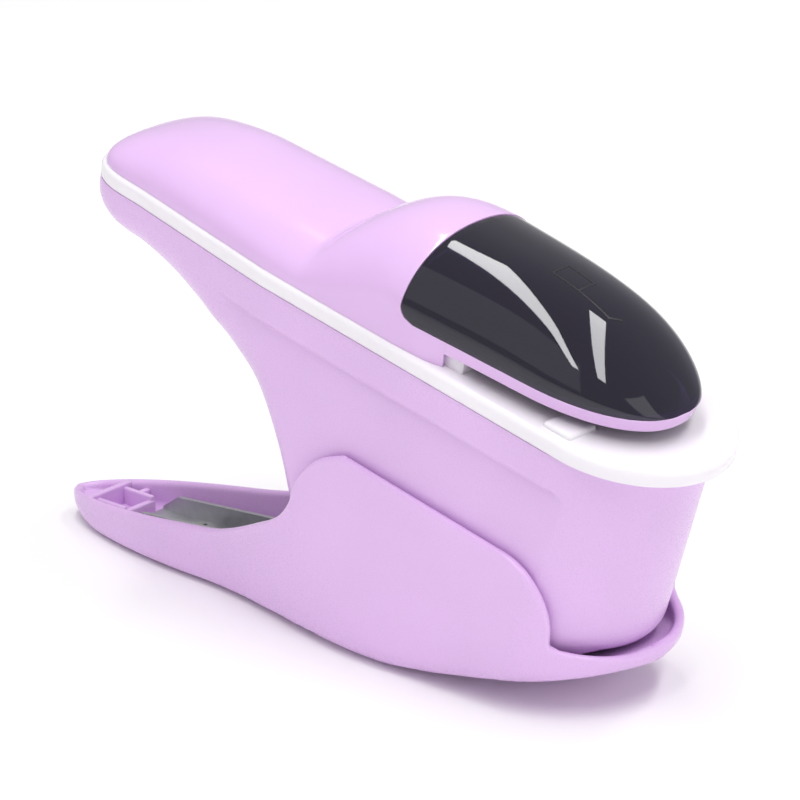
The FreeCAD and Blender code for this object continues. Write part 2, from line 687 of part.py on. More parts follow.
blade("flap_blade", "flap_along", "flap_width", "2.2", False)
blade("slit_blade", "slit_along", "slit_width", "1.2", True)
pin_start = size("slit_along") - 1.6
blade_pin = doc.addObject("Part::Cylinder", "blade_pin")
blade_pin.setExpression("Radius", bound("tuck_pin_radius"))
blade_pin.setExpression("Height", bound("flap_along - slit_along + 3"))
keep(blade_pin, "blade_pin",
     IN_BODY * Placement(Vector(pin_start, 0, -size("block_low") + 4), Rotation(Vector(0, 1, 0), 90)))

# ---------------------------------------------------------------- tuck arm in the head
tuck = plate("tuck_arm", "XZ_Plane", [
    ("tuck_pin_along - 4.6", "anvil_high + 0.5"), ("tuck_pin_along + 1.9", "anvil_high + 0.5"),
    ("tuck_pin_along + 1.9", "tuck_pin_up + 1.8"), ("tuck_pin_along - 1.8", "tuck_pin_up + 1.8"),
    ("tuck_pin_along - 4.6", "anvil_high + 1.3")], "2 * tuck_half",
    holes=[("tuck_pin_along", "tuck_pin_up", "tuck_pin_radius + run_gap")])
keep(tuck, "tuck_arm", IN_BODY)


# ---------------------------------------------------------------- coil springs
def coil(radius, wire, height, turns):
    """A closed-ended round-wire coil along +Z with its foot at the origin."""
    path = Part.makeHelix((height - wire) / turns, height - wire, radius)
    start = path.Edges[0].valueAt(path.Edges[0].FirstParameter)
    ring = Part.Wire([Part.makeCircle(wire / 2, start, Vector(0, 1, 0))])
    shape = Part.Wire(path.Edges).makePipeShell([ring], True, True)
    shape.translate(Vector(0, 0, wire / 2))
    return shape


punch_height = size("block_top") - size("table_thick") - 0.5
pair = []
for number, along in enumerate(("rod_rear", "rod_front")):
    spring = doc.addObject("Part::Feature", "punch_spring%d" % number)
    spring.Shape = coil(size("coil_radius"), size("coil_wire"), punch_height, 5)
    spring.Placement = Placement(Vector(size(along), 0, -size("block_top") + 0.35), Rotation())
    pair.append(spring)
group("punch_springs", pair, IN_BODY)

lever_coil = coil(size("lever_coil"), size("lever_wire"), 6.4, 5)
lever_coil.translate(Vector(0, 0, -3.2))
lever_coil.rotate(Vector(), Vector(1, 0, 0), 90)
lever_coil.translate(Vector(size("pivot_along"), 0, -size("pivot_depth")))
shaped("lever_spring", lever_coil, IN_BODY)

tuck_coil = coil(1.5, 0.35, 3.4, 5)
tuck_coil.translate(Vector(0, 0, -1.7))
tuck_coil.rotate(Vector(), Vector(1, 0, 0), 90)
tuck_coil.translate(Vector(size("tuck_pin_along"), 4.4, size("tuck_pin_up")))
shaped("tuck_spring", tuck_coil, IN_BODY)

# ---------------------------------------------------------------- screws of the body
long_screws = [pan_screw("cover_screw%d" % number, "screw_head", along, "0", "-9", 12.5, True)
               for number, along in enumerate(("screw_rear", "screw_mid"))]
group("cover_screws", long_screws, IN_BODY)
short_screws = [pan_screw("table_screw%d" % number, "screw_head", "spine_rear - 4", across, "0", 5, False)
                for number, across in enumerate(("-12.5", "12.5"))]
group("table_screws", short_screws, IN_BODY)


# ---------------------------------------------------------------- lever
TAIL_X, WING_X = size("lever_tail_x"), size("lever_toe_x")


def lever_half_at(along, inset):
    """Half-width of the lever's plan: narrow tail, a flare to the wings, a round toe."""
    wide, narrow = size("lever_half") - inset, size("tail_out") + 0.5 - inset
    toe = WING_X + wide
    if along > WING_X:
        return math.sqrt(max(wide ** 2 - (along - WING_X) ** 2, 0.0))
    share = min(max((along + 18.0) / 22.0, 0.0), 1.0)
    flare = share * share * (3 - 2 * share)
    half = narrow + (wide - narrow) * flare
    bend = TAIL_X + 11
    if along < bend:
        part = min((bend - along) / (11 - inset), 1.0)
        half *= (1 - part ** 2.2) ** (1 / 2.2)
    return half


def lever_bottom_at(along):
    """Height of the keel: a flat sole that turns up at the tail and more at the toe."""
    sole_rear, sole_front = -40.0, 36.0
    if along < sole_rear:
        return -0.4 + 3.6 * ((sole_rear - along) / 11.0) ** 2.2
    if along > sole_front:
        return -0.4 + 8.6 * ((along - sole_front) / 42.4) ** 1.35
    return -0.4


def lever_bilge_at(along):
    """Height over which the flank turns under into the keel."""
    if along < -12:
        return 5.0
    if along < 10:
        return 5.0 + 2.0 * (along + 12) / 22
    if along < WING_X:
        return 7.0
    return 7.0 - 4.5 * (along - WING_X) / 18.0


def lever_lean_at(along):
    """Forward lean of the toe and the wings' fronts, which follow the leaning body."""
    share = min(max((along - 36.0) / (WING_X - 36.0), 0.0), 1.0)
    return share * math.tan(math.radians(LEAN))


def lever_section(along, inset, lift, power, bilge):
    half = max(lever_half_at(along, inset), 0.6)
    base, top, lean = lever_bottom_at(along) + lift, 45.0, lever_lean_at(along)

    def spot(across, up):
        return Vector(along + lean * (up - 10.0), across, up)

    points = []
    for step in range(7):
        turn = math.pi / 2 * step / 6
        points.append(spot(half * math.cos(turn) ** (2 / power),
                           base + bilge * (1 - math.sin(turn) ** (2 / power))))
    other = [Vector(p.x, -p.y, p.z) for p in reversed(points[:-1])]
    top_left, top_right = spot(-half, top), spot(half, top)
    return Part.Wire([Part.makeLine(top_right, points[0]), smooth(points + other),
                      Part.makeLine(other[-1], top_left), Part.makeLine(top_left, top_right)])


def lever_loft(inset, lift, power, places, bilge_cut):
    wires = [lever_section(x, inset, lift, power, lever_bilge_at(x) - bilge_cut) for x in places]
    return Part.makeLoft(wires, True, False)


def tail_places(inset):
    """Stations that crowd where the tail closes."""
    bend, reach = TAIL_X + 11, 11 - inset
    return [bend - reach * math.sin(math.radians(turn)) for turn in (86, 72, 56, 38, 19, 0)]


def toe_places(inset):
    """Stations that crowd where the toe closes."""
    wide = size("lever_half") - inset
    return [WING_X + wide * math.sin(math.radians(turn)) for turn in (0, 17, 33, 48, 62, 75, 86)]


def rim_cut():
    """Everything above the lever's rim, as seen from the side."""
    wing_top, reach = -size("pivot_depth") + size("wing_round"), size("wing_round")
    along, depth = size("pivot_along"), size("pivot_depth")
    rise = [Vector(-60, 0, 2.6), Vector(-40, 0, 5.6), Vector(-20, 0, 8.3), Vector(-8, 0, 10.2),
            Vector(-1, 0, 12.6), Vector(7, 0, 16.4), Vector(13, 0, 19.6), Vector(16.4, 0, 23.2),
            Vector(18.4, 0, 28.0), Vector(22.4, 0, 32.2), row_point(73.3, wing_top)]
    crest = row_point(along, wing_top)
    shoulder = row_point(along + reach * math.sqrt(0.5), -depth + reach * math.sqrt(0.5))
    front = row_point(along + reach, -depth + 0.6)
    turn_in = row_point(along + reach + 0.5, -depth - 0.9)
    lip_start = row_point(along + reach + 2.2, -depth - 1.6)
    lip_end = row_point(along + 30, -depth - 1.9)
    edges = [smooth(rise), Part.makeLine(rise[-1], crest),
             Part.Arc(crest, shoulder, front).toShape(), Part.Arc(front, turn_in, lip_start).toShape(),
             Part.makeLine(lip_start, lip_end), Part.makeLine(lip_end, Vector(lip_end.x, 0, 60)),
             Part.makeLine(Vector(lip_end.x, 0, 60), Vector(-60, 0, 60)),
             Part.makeLine(Vector(-60, 0, 60), rise[0])]
    solid = Part.Face(Part.Wire(edges)).extrude(Vector(0, 80, 0))
    solid.translate(Vector(0, -40, 0))
    return solid


def lever_shell():
    """Squeeze lever: boat-shaped tray with two wings that hug the body and turn on its pivot."""
    wall, floor = size("wing_wall"), size("sole_floor")
    straight = [-29, -18, -13, -8, -3, 3, 12, 24, 36, 48]
    hull = lever_loft(0.0, 0.0, 3.0, tail_places(0.0) + straight + toe_places(0.0), 0.0)
    hull = hull.cut(block((-80, -40, -20), (120, 40, 0)))
    hollow = lever_loft(wall, floor + 0.4, 4.0, tail_places(wall) + straight + toe_places(wall), 2.0)
    shell = hull.cut(hollow).cut(rim_cut())
    hub = PIVOT
    for side in (-1, 1):
        near, far = size("frame_y") + size("frame_thick") + 1.0, size("panel_half") + 0.6
        low = min(side * near, side * far)
        boss = across_bar(size("boss_radius"), hub.x, hub.z, low, low + far - near)
        shell = shell.fuse(boss)
    shell = shell.cut(across_bar(size("pin_radius") + size("run_gap"), hub.x, hub.z,
                                 -size("panel_half") + 0.8, size("panel_half") - 0.8))
    rear = size("channel_rear")
    for low, high in (((rear - 9.5, -6, 0.8), (rear - 8.2, 6, 5.2)),
                      ((rear - 8.4, -3.4, 0.8), (rear - 1.5, -2.4, 4.6)),
                      ((rear - 8.4, 2.4, 0.8), (rear - 1.5, 3.4, 4.6)),
                      ((rear - 2.5, -3.4, 0.8), (rear - 1.3, 3.4, 3.8))):
        shell = shell.fuse(block(low, high).common(hull))
    for along in (rear + 13, rear + 38):
        post = Part.makeCylinder(2.4, 2.0, Vector(along, 0, 0.5))
        shell = shell.fuse(post).cut(Part.makeCylinder(size("screw_radius"), 4, Vector(along, 0, 0.9)))
    return shell


shaped("lever_shell", lever_shell(), IN_ROW)


def lever_channel():
    """Zinc-plated channel that stiffens the lever, with ears for the pivot and the drive pin."""
    drive = row_point(size(DRIVE_ALONG), size(DRIVE_UP))
    hub, ear, out = PIVOT, size("drive_ear"), size("channel_out")
    base, thick = size("sole_floor") + 0.3, size("channel_thick")
    run = (hub - drive).normalize()
    rise = Vector(-run.z, 0, run.x)
    neck = drive + run * 4.6 + rise * 0.9
    top = drive + rise * ear
    back = drive - run * ear
    crest = hub + rise * size("boss_radius")
    rear, front = size("channel_rear"), size("channel_front")
    side = [(rear, base), (front, base), (hub.x, hub.z - size("boss_radius")), (crest.x, crest.z),
            (neck.x, neck.z),
            (top.x, top.z), (back.x, back.z), (drive.x - 11, 9.6), (8, 8.6), (-8, 8.1),
            (rear + 3.5, 6.2), (rear, base + 1.2)]
    solid = prism(side, -out, out)
    solid = solid.fuse(across_bar(size("boss_radius"), hub.x, hub.z, -out, out))
    solid = solid.fuse(across_bar(ear, drive.x, drive.z, -out, out))
    inner = out - thick
    solid = solid.cut(block((-60, -inner, base + thick), (90, inner, 60)))
    solid = solid.cut(across_bar(size("pin_radius") + size("run_gap"), hub.x, hub.z, -20, 20))
    solid = solid.cut(across_bar(size("drive_pin_radius"), drive.x, drive.z, -20, 20))
    for along in (rear + 13, rear + 38):
        solid = solid.cut(Part.makeCylinder(size("screw_radius") + 0.1, 10, Vector(along, 0, 0)))
    return solid.removeSplitter()


shaped("lever_channel", lever_channel(), IN_ROW)
channel_top = "sole_floor + 0.3 + channel_thick"
small_screws = [pan_screw("channel_screw%d" % number, "screw_head", along, "0", channel_top, 2.3, False)
                for number, along in enumerate(("channel_rear + 13", "channel_rear + 38"))]
group("channel_screws", small_screws, IN_ROW)

drive_pieces = [cross_rod("drive_bar", "drive_pin_radius", "channel_out", DRIVE_ALONG, DRIVE_UP)]
for side in (-1, 1):
    drive_pieces.append(cross_rod("drive_head%d" % side, "rivet_head", "rivet_high / 2", DRIVE_ALONG,
                                  DRIVE_UP, "%d * (channel_out + rivet_high / 2)" % side))
keep(fused("drive_pin", drive_pieces), "drive_pin", IN_BODY)

# ---------------------------------------------------------------- check and write
doc.recompute()
for item in doc.Objects:
    if "Invalid" in item.State or "Error" in item.State:
        raise RuntimeError("%s is %s" % (item.Label, item.State))
for node in nodes:
    if node.Shape.isNull() or not node.Shape.isValid() or not node.Shape.Solids:
        raise RuntimeError("%s has no valid solid" % node.Label)

os.makedirs("parts", exist_ok=True)
for node in nodes:
    node.Shape.exportStep("parts/%s.step" % node.Label)
    print(node.Label, len(node.Shape.Solids), round(node.Shape.Volume, 1))
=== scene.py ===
import json
import math

import bmesh
import bpy
from mathutils import Matrix, Vector


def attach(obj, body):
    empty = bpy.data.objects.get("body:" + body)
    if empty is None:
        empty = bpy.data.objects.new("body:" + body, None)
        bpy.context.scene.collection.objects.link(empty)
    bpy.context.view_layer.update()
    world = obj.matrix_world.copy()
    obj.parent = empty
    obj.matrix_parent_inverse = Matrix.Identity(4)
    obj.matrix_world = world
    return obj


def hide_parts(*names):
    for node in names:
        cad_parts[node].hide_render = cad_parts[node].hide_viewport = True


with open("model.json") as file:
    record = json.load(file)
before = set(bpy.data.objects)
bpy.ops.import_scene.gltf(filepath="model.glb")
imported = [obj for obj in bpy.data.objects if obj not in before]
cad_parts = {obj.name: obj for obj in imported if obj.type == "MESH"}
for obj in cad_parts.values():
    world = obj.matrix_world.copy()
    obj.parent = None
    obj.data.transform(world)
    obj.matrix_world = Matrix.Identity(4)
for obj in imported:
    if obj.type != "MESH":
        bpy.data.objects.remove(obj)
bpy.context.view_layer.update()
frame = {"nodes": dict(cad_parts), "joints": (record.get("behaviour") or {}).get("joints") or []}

# ---------------------------------------------------------------- camera, floor and light
# A small object under a long lens from its front right, on a matt white sweep in a light tent. Two
# strip lights overhead draw the stripes on the window; two softboxes fill its nose and its flank.


def colour(code):
    """A hex sRGB colour as the linear RGBA that a shader wants."""
    shares = [int(code[i:i + 2], 16) / 255 for i in (1, 3, 5)]
    return [s / 12.92 if s <= 0.04045 else ((s + 0.055) / 1.055) ** 2.4 for s in shares] + [1.0]


def add(tree, kind, values=None, links=None, **settings):
    """Adds one shader node with its settings, socket values and incoming links."""
    made = tree.nodes.new(kind)
    for name, value in settings.items():
        setattr(made, name, value)
    for socket, value in (values or {}).items():
        made.inputs[socket].default_value = value
    for socket, source in (links or {}).items():
        tree.links.new(source, made.inputs[socket])
    return made


def new_material(name):
    """An empty node material, its tree and shader, and where a point lies on the object in metres."""
    material = bpy.data.materials.new(name)
    material.use_nodes = True
    tree = material.node_tree
    tree.nodes.clear()
    shader = add(tree, "ShaderNodeBsdfPrincipled")
    add(tree, "ShaderNodeOutputMaterial", links={"Surface": shader.outputs["BSDF"]})
    place = add(tree, "ShaderNodeTexCoord")
    return material, tree, shader, place.outputs["Object"]


def look(thing, target):
    """Turns a camera or a lamp to face a target from where it stands."""
    way = Vector(target) - thing.location
    thing.rotation_euler = way.to_track_quat("-Z", "Y").to_euler()


scene = bpy.context.scene
scene.view_settings.view_transform = "Standard"
CAMERA_SPOT, CAMERA_AIM = (0.4716, -0.5204, 0.2993), (0.0281, -0.0038, 0.0408)
LENS, SENSOR, CLIP_END = 203.1, 36, 20
camera = bpy.data.objects.new("camera", bpy.data.cameras.new("camera"))
scene.collection.objects.link(camera)
camera.data.lens = LENS
camera.data.sensor_width = SENSOR
camera.data.clip_end = CLIP_END
camera.location = CAMERA_SPOT
look(camera, CAMERA_AIM)
scene.camera = camera

FLOOR_REACH = 4
floor_mesh = bmesh.new()
bmesh.ops.create_grid(floor_mesh, x_segments=1, y_segments=1, size=FLOOR_REACH)
floor_data = bpy.data.meshes.new("studio_floor")
floor_mesh.to_mesh(floor_data)
floor_mesh.free()
floor = bpy.data.objects.new("studio_floor", floor_data)
scene.collection.objects.link(floor)
sweep, tree, shader, place = new_material("matt_white_sweep")
shader.inputs["Base Color"].default_value = colour("#F8F8F8")
shader.inputs["Roughness"].default_value = 0.9
floor_data.materials.append(sweep)

TENT_GLOW = 0.48
world = bpy.data.worlds.new("light_tent")
scene.world = world
world.use_nodes = True
world.node_tree.nodes["Background"].inputs["Color"].default_value = colour("#FFFFFF")
world.node_tree.nodes["Background"].inputs["Strength"].default_value = TENT_GLOW

STRIP_TURN = math.radians(-60)
for name, spot, length, breadth, watts in (
        ("strip_light_near", (0.06, -0.28, 1.08), 1.5, 0.13, 6.2),
        ("strip_light_far", (0.50, 0.08, 1.08), 1.35, 0.17, 6.4)):
    lamp = bpy.data.objects.new(name, bpy.data.lights.new(name, "AREA"))
    scene.collection.objects.link(lamp)
    lamp.data.shape = "RECTANGLE"
    lamp.data.size, lamp.data.size_y = length, breadth
    lamp.data.energy = watts
    lamp.location = spot
    lamp.rotation_euler = (0, 0, STRIP_TURN)

SOFTBOX_AIM = (0.05, 0, 0.03)
for name, spot, side, watts in (("softbox_nose", (1.3, 0.15, 0.55), 0.8, 1.8),
                                ("softbox_flank", (-0.2, -1.3, 0.95), 1.6, 2.8)):
    lamp = bpy.data.objects.new(name, bpy.data.lights.new(name, "AREA"))
    scene.collection.objects.link(lamp)
    lamp.data.shape = "SQUARE"
    lamp.data.size = side
    lamp.data.energy = watts
    lamp.location = spot
    look(lamp, SOFTBOX_AIM)

# ---------------------------------------------------------------- paper table
# The white plate that the sheets lie on, one moulding in glossy ABS. It overhangs the body all
# round, most at its nose, its edge is rounded, and a post and a low pad stand on it in the slot.

# The table, handle and body lean nose-down over the lever's pivot, so they are shaped in millimetres
# in a frame of their own: along the table from its tail, across, and up from its top face.
joints = {joint["name"]: joint for joint in frame["joints"]}
UP = Vector(joints["punch_rise"]["axis"])
ALONG = Vector((UP.z, 0, -UP.x))
PIVOT = Vector(joints["lever_squeeze"]["pos_m"])
PIVOT_ALONG, PIVOT_DEPTH = 107.3, 34.4
AS_IT_STANDS = Matrix.Scale(0.001, 4)
IN_BODY = (Matrix.Translation(PIVOT) @ Matrix((ALONG, (0, 1, 0), UP)).transposed().to_4x4() @ AS_IT_STANDS
           @ Matrix.Translation((-PIVOT_ALONG, 0, PIVOT_DEPTH)))


def mix(low, high, share):
    """The value a share of the way from low to high."""
    return low + (high - low) * share


def skin(bm, columns, rows, place):
    """A sheet of quads whose corner at each column and row goes where place says."""
    sheet = bmesh.ops.create_grid(bm, x_segments=len(columns) - 1, y_segments=len(rows) - 1, size=1)
    for vert in sheet["verts"]:
        column = columns[round((vert.co.x + 1) / 2 * (len(columns) - 1))]
        row = rows[round((vert.co.y + 1) / 2 * (len(rows) - 1))]
        vert.co = place(column, row)


def bar(bm, low, high, rounding):
    """A bevelled block moulded on to a piece, between two corners in millimetres."""
    low, high = Vector(low), Vector(high)
    made = bmesh.ops.create_cube(bm, size=1)["verts"]
    bmesh.ops.scale(bm, vec=high - low, verts=made)
    bmesh.ops.translate(bm, vec=(low + high) / 2, verts=made)
    edges = list({edge for vert in made for edge in vert.link_edges})
    bmesh.ops.bevel(bm, geom=edges, offset=rounding, segments=3, profile=0.5, affect="EDGES", material=-1)


WELD, SLIVER = 0.004, 0.001


def both_sides(bm):
    """Mirrors one side across the mid-plane, joins the seam and points the faces outward."""
    bmesh.ops.mirror(bm, geom=bm.verts[:] + bm.edges[:] + bm.faces[:], axis="Y", merge_dist=0.0)
    bmesh.ops.remove_doubles(bm, verts=bm.verts, dist=WELD)
    bmesh.ops.dissolve_degenerate(bm, edges=bm.edges, dist=SLIVER)
    bmesh.ops.recalc_face_normals(bm, faces=bm.faces)


def make_piece(name, bm, frame_place, material, body, node):
    """Turns a finished mesh into a piece that rides with its body and stands for its CAD node."""
    bmesh.ops.transform(bm, matrix=frame_place, verts=bm.verts)
    data = bpy.data.meshes.new(name)
    bm.to_mesh(data)
    bm.free()
    data.shade_smooth()
    data.materials.append(material)
    piece = bpy.data.objects.new(name, data)
    scene.collection.objects.link(piece)
    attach(piece, body)
    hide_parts(node)
    return piece


ABS_IOR = 1.53
ABS_GRAIN, ABS_DRIFT = 0.00018, 0.03


def moulded_abs(name, shade, gloss):
    """Injection-moulded ABS, coloured right through: its shade drifts a little over about 30 mm, and
    a faint spark-eroded grain about 0.2 mm across breaks up the gloss. A little light soaks in."""
    material, tree, shader, place = new_material(name)
    pale, deep = [c * 1.03 for c in colour(shade)[:3]], [c * 0.965 for c in colour(shade)[:3]]
    drift = add(tree, "ShaderNodeTexNoise", {"Scale": 1 / ABS_DRIFT, "Detail": 2.0}, {"Vector": place})
    ramp = add(tree, "ShaderNodeValToRGB", links={"Fac": drift.outputs["Fac"]})
    ramp.color_ramp.elements[0].color = deep + [1.0]
    ramp.color_ramp.elements[0].position = 0.3
    ramp.color_ramp.elements[1].color = pale + [1.0]
    ramp.color_ramp.elements[1].position = 0.7
    tree.links.new(ramp.outputs["Color"], shader.inputs["Base Color"])
    grain = add(tree, "ShaderNodeTexNoise", {"Scale": 1 / ABS_GRAIN, "Detail": 3.0}, {"Vector": place})
    rough = add(tree, "ShaderNodeMapRange",
                {"From Min": 0.3, "From Max": 0.7, "To Min": gloss - 0.03, "To Max": gloss + 0.05},
                {"Value": grain.outputs["Fac"]})
    tree.links.new(rough.outputs["Result"], shader.inputs["Roughness"])
    bump = add(tree, "ShaderNodeBump", {"Strength": 0.06, "Distance": 0.00002},
               {"Height": grain.outputs["Fac"]})
    tree.links.new(bump.outputs["Normal"], shader.inputs["Normal"])
    shader.inputs["IOR"].default_value = ABS_IOR
    shader.inputs["Subsurface Weight"].default_value = 0.12
    shader.inputs["Subsurface Radius"].default_value = (0.0012, 0.0008, 0.0012)
    shader.inputs["Subsurface Scale"].default_value = 1.0
    return material


TABLE_HALF, TABLE_NOSE, TABLE_THICK, TABLE_ROUND = 17.5, 131.0, 3.0, 0.9
TAIL_END, TAIL_BEND, TAIL_POWER = 20.0, 13.2, 3.4
TAPER_END, TAIL_SHARE = 50.0, 15.1 / 17.5
TAIL_TURN, NOSE_TURN = 0.2, 0.8


def plan(share, half, nose, inset=0.0):
    """Half of the plan outline: 0 is the tip of the blunt tail, 1 the tip of the round nose."""
    narrow, wide, centre = half * TAIL_SHARE - inset, half - inset, nose - half
    if share < TAIL_TURN:
        turn = math.pi / 2 * share / TAIL_TURN
        return (TAIL_END - (TAIL_BEND - inset) * math.cos(turn) ** (2 / TAIL_POWER),
                narrow * math.sin(turn) ** (2 / TAIL_POWER))
    if share < NOSE_TURN:
        along = mix(TAIL_END, centre, (share - TAIL_TURN) / (NOSE_TURN - TAIL_TURN))
        return along, mix(narrow, wide, min((along - TAIL_END) / (TAPER_END - TAIL_END), 1.0))
    turn = math.pi / 2 * (share - NOSE_TURN) / (1 - NOSE_TURN)
    return centre + wide * math.sin(turn), wide * math.cos(turn)


edge_turns = [math.radians(degrees) for degrees in range(0, 91, 18)]
table_steps = [(TABLE_HALF, 0.0)]
table_steps += [(TABLE_ROUND * (1 - math.sin(turn)), -TABLE_ROUND * (1 - math.cos(turn)))
                for turn in edge_turns]
table_steps += [(0.1, 0.5 - TABLE_THICK), (0.3, 0.15 - TABLE_THICK), (0.6, -TABLE_THICK),
                (TABLE_HALF, -TABLE_THICK)]


def table_spot(share, step):
    """A step is how far in from the outline, where half the width is the mid-line, and how high."""
    inset, up = step
    if inset == TABLE_HALF:
        return Vector((plan(share, TABLE_HALF, TABLE_NOSE, TABLE_ROUND)[0], 0, up))
    along, across = plan(share, TABLE_HALF, TABLE_NOSE, inset)
    return Vector((along, max(across, 0.0), up))


OUTLINE_STEPS = 150
table = bmesh.new()
skin(table, [i / OUTLINE_STEPS for i in range(OUTLINE_STEPS + 1)], table_steps, table_spot)
for low, high, rounding in (((86.2, -14.4, -0.4), (90.6, -11.2, 2.3), 0.3),
                            ((108.0, -15.4, -0.6), (113.6, -8.6, 0.8), 0.6)):
    bar(table, low, high, rounding)
both_sides(table)
white_abs = moulded_abs("glossy_white_abs", "#F1EDF3", 0.2)
make_piece("table_moulding", table, IN_BODY, white_abs, "housing", "paper_table")

# ---------------------------------------------------------------- lower body
# The lilac moulding under the table: the belly of the grip and the housing round the punch, in
# satin ABS with a little draft and a shallow panel down each flank, open underneath at the front.
BODY_HALF, BODY_NOSE, BODY_WALL, BODY_EDGE = 17.2, 127.0, 1.6, 0.35
FLANK_DRAFT, NOSE_DRAFT, DRAFT_DEPTH = 1.04, 2.6, 47
PANEL_TOP, PANEL_HALF, PANEL_FRONT, PANEL_CORNER = -8.9, 16.0, 116.7, 5.0
PANEL_BAND_TOP, PANEL_BAND_LOW = -8.0, -14.0
BELLY_END, BODY_LOW = 64.0, -42.6
TAIL_ROUND, BELLY_ROUND, FRONT_ROUND = 5.0, 8.5, 4.0


def ease(value, low, high):
    """A soft step from 0 to 1 between two values."""
    share = min(max((value - low) / (high - low), 0.0), 1.0)
    return share * share * (3 - 2 * share)


def spread(low, high, count):
    """Evenly spaced values from low, leaving out high."""
    return [mix(low, high, i / count) for i in range(count)]


def through(points, count):
    """A smooth line through points, with count steps between each pair."""
    ends = [points[0]] + list(points) + [points[-1]]
    line = []
    for a, b, c, d in zip(ends, ends[1:], ends[2:], ends[3:]):
        for share in spread(0, 1, count):
            line.append(tuple(0.5 * (2 * q + (r - p) * share + (2 * p - 5 * q + 4 * r - s) * share ** 2
                                     + (3 * q - p - 3 * r + s) * share ** 3)
                              for p, q, r, s in zip(a, b, c, d)))
    return line + [tuple(points[-1])]


def height_on(line, along):
    """The height of a line at one place along it."""
    for (x0, z0), (x1, z1) in zip(line, line[1:]):
        if along <= x1:
            return mix(z0, z1, max(along - x0, 0.0) / (x1 - x0))
    return line[-1][1]


def wall(piece, thickness, edge):
    """Gives a skin its moulded wall, inwards, and rounds the wall's edges."""
    solid = piece.modifiers.new("wall", "SOLIDIFY")
    solid.thickness = thickness / 1000
    solid.offset = -1
    rounding = piece.modifiers.new("edge", "BEVEL")
    rounding.width = edge / 1000
    rounding.segments = 3
    rounding.limit_method = "ANGLE"
    rounding.angle_limit = math.radians(42)
    rounding.use_clamp_overlap = True


belly = through([(6.5, -8.4), (14.8, -11.0), (27.0, -13.4), (37.0, -16.8), (46.0, -21.4),
                 (52.4, -26.4), (58.6, -33.4), (BELLY_END, BODY_LOW)], 8)
belly += [(100.0, BODY_LOW), (112.0, -41.8), (122.0, -37.6), (140.0, -37.6)]


def body_plan(share, up, inset):
    """The body's plan outline at one height: it narrows downwards with the mould's draft."""
    drop = (-TABLE_THICK - up) / DRAFT_DEPTH
    return plan(share, BODY_HALF - FLANK_DRAFT * drop, BODY_NOSE - NOSE_DRAFT * drop, inset)


def panel_depth(along, up):
    """How far into the panel a point lies, from 0 outside its rounded edge to 1."""
    corner_along, corner_up = PANEL_FRONT - PANEL_CORNER, PANEL_TOP - PANEL_CORNER
    out = math.hypot(max(along - corner_along, 0), max(up - corner_up, 0)) - PANEL_CORNER
    return ease(-out, -0.25, 0.45)


def body_spot(share, row):
    """Rows 0 to 3 run down the flank, 3 to 4 round the lower edge, 4 to 5 across the belly."""
    along = body_plan(share, -TABLE_THICK, 0.0)[0]
    low = height_on(belly, along)
    rounding = mix(TAIL_ROUND, BELLY_ROUND, ease(along, 8, 24))
    rounding = mix(rounding, FRONT_ROUND, ease(along, 48, BELLY_END))
    slope = height_on(belly, along + 0.5) - height_on(belly, along - 0.5)
    lift = min(rounding * math.sqrt(1 + slope ** 2), 0.8 * (-TABLE_THICK - low))
    flank_low = low + lift
    levels = [-TABLE_THICK, max(PANEL_BAND_TOP, mix(-TABLE_THICK, flank_low, 0.5)),
              max(PANEL_BAND_LOW, mix(-TABLE_THICK, flank_low, 0.75)), flank_low]
    if row <= 3:
        index = min(int(row), 2)
        up = mix(levels[index], levels[index + 1], row - index)
        along, across = body_plan(share, up, 0.0)
        across -= panel_depth(along, up) * max(across - PANEL_HALF, 0.0)
        return Vector((along, max(across, 0.0), up))
    turn = math.pi / 2 * min(row - 3, 1.0)
    along, across = body_plan(share, flank_low, rounding * (1 - math.cos(turn)))
    edge = body_plan(share, flank_low, 0.0)[1]
    across -= panel_depth(along, flank_low) * max(edge - PANEL_HALF, 0.0)
    across = max(across, 0.0)
    up = height_on(belly, along) + lift * (1 - math.sin(turn))
    if row > 4:
        across *= 5 - row
    return Vector((along, across, up))


body = bmesh.new()
stations = spread(0, TAIL_TURN, 26) + spread(TAIL_TURN, 0.76, 60)
stations += spread(0.76, 0.87, 30) + spread(0.87, 1.0, 16) + [1.0]
flank_rows = spread(0, 1, 6) + spread(1, 2, 16) + spread(2, 3, 14) + spread(3, 4, 6) + [4]
skin(body, stations, flank_rows, body_spot)
belly_stations = [s for s in stations if body_plan(s, -TABLE_THICK, 0.0)[0] < BELLY_END]
skin(body, belly_stations, spread(4, 5, 5) + [5], body_spot)
both_sides(body)
LILAC = "#DFBAEA"
satin_lilac = moulded_abs("satin_lilac_abs", LILAC, 0.28)
body_piece = make_piece("body_moulding", body, IN_BODY, satin_lilac, "housing", "body_shell")
wall(body_piece, BODY_WALL, BODY_EDGE)

# ---------------------------------------------------------------- handle cover
# Palm grip, collar and the thin lip under the window, moulded as one in the same lilac ABS but
# polished. The crown swells to a collar that the window butts against, and the lip clears the table.
GRIP_HIGH, COLLAR_HIGH, COLLAR_START, WINDOW_REAR = 8.1, 17.6, 57.5, 78.0
RIM_HIGH, SLOT_GAP, HEAD_NOSE, HEAD_HALF, WINDOW_RISE = 4.7, 2.5, 123.0, 16.8, 12.8
COVER_INSET, COVER_WALL, COVER_EDGE = 0.6, 1.3, 0.25
CHEEK_END, CORNER_ROUND, CORNER_CLIMB, LIP_TUCK, HEAD_TAPER = 87.4, 3.0, 17.0, 0.6, 0.07
GRIP_POWER, HEAD_POWER, HEAD_BEND = 2.3, 2.2, 20
CROWN_START, CROWN_RUN = 27.8, 21.0


